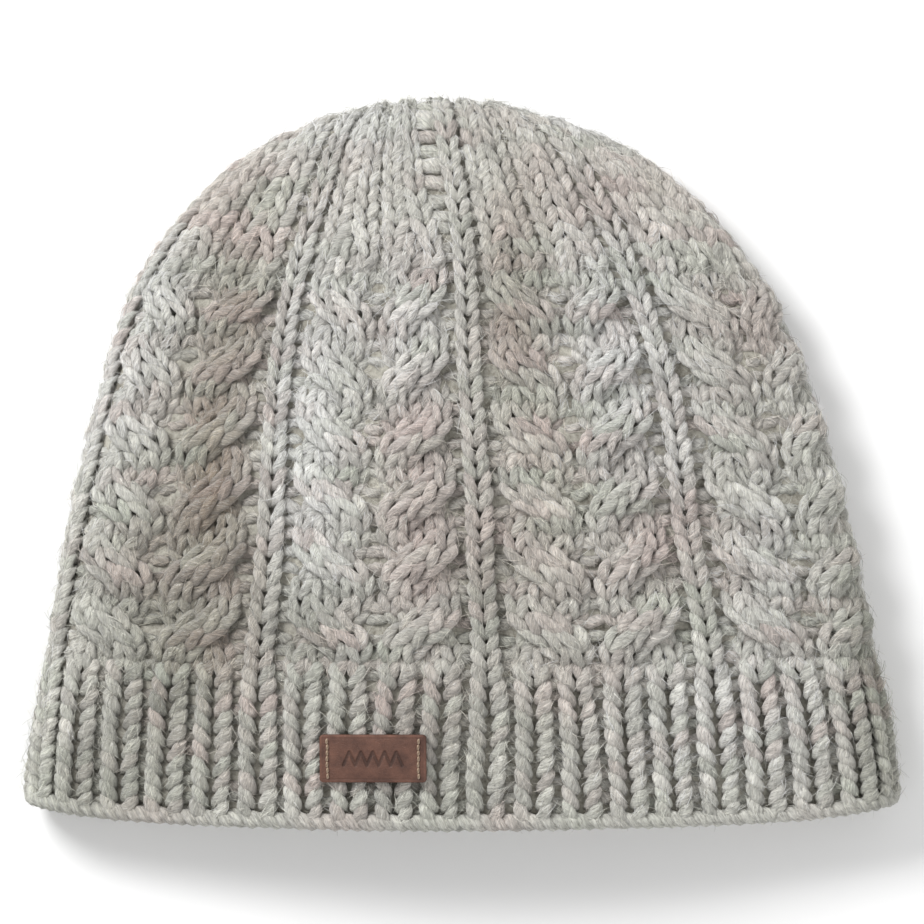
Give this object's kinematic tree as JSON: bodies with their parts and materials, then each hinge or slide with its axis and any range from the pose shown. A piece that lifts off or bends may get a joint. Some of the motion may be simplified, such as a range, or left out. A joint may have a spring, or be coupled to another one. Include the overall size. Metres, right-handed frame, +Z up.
{
  "type": "knit beanie",
  "caption": "Cable-knit wool beanie lying flat, with a ribbed brim, paired cables to the crown, a fleece band inside and a small leather label.",
  "frame": {"origin": "under the middle of the hat's bounding box, on the surface that it lies on", "axes": "+X across the brim to the right as seen from above, +Y from the brim to the crown, +Z up through the two layers"},
  "size_m": [0.2388, 0.1992, 0.0375],
  "materials": {
    "wool_knit": "fuzzy heathered wool yarn, matt",
    "fleece": "brushed fleece, matt",
    "thread": "waxed thread, slight sheen",
    "label_tape": "satin tape, soft sheen",
    "label_leather": "semi-matt oiled leather"
  },
  "bodies": {
    "root": {"rib_brim": "wool_knit", "cast_on_edge": "wool_knit", "cable_panel_1": "wool_knit", "cable_panel_2": "wool_knit", "cable_panel_3": "wool_knit", "cable_panel_4": "wool_knit", "cable_panel_5": "wool_knit", "cable_panel_6": "wool_knit", "cable_panel_7": "wool_knit", "cable_panel_8": "wool_knit", "crown_gather": "wool_knit", "fleece_lining": "fleece", "lining_seam": "thread", "lining_stitches_upper": "thread", "lining_stitches_lower": "thread", "care_label": "label_tape", "leather_label": "label_leather", "label_stitches_left": "thread", "label_stitches_right": "thread"}
  },
  "joints": []
}
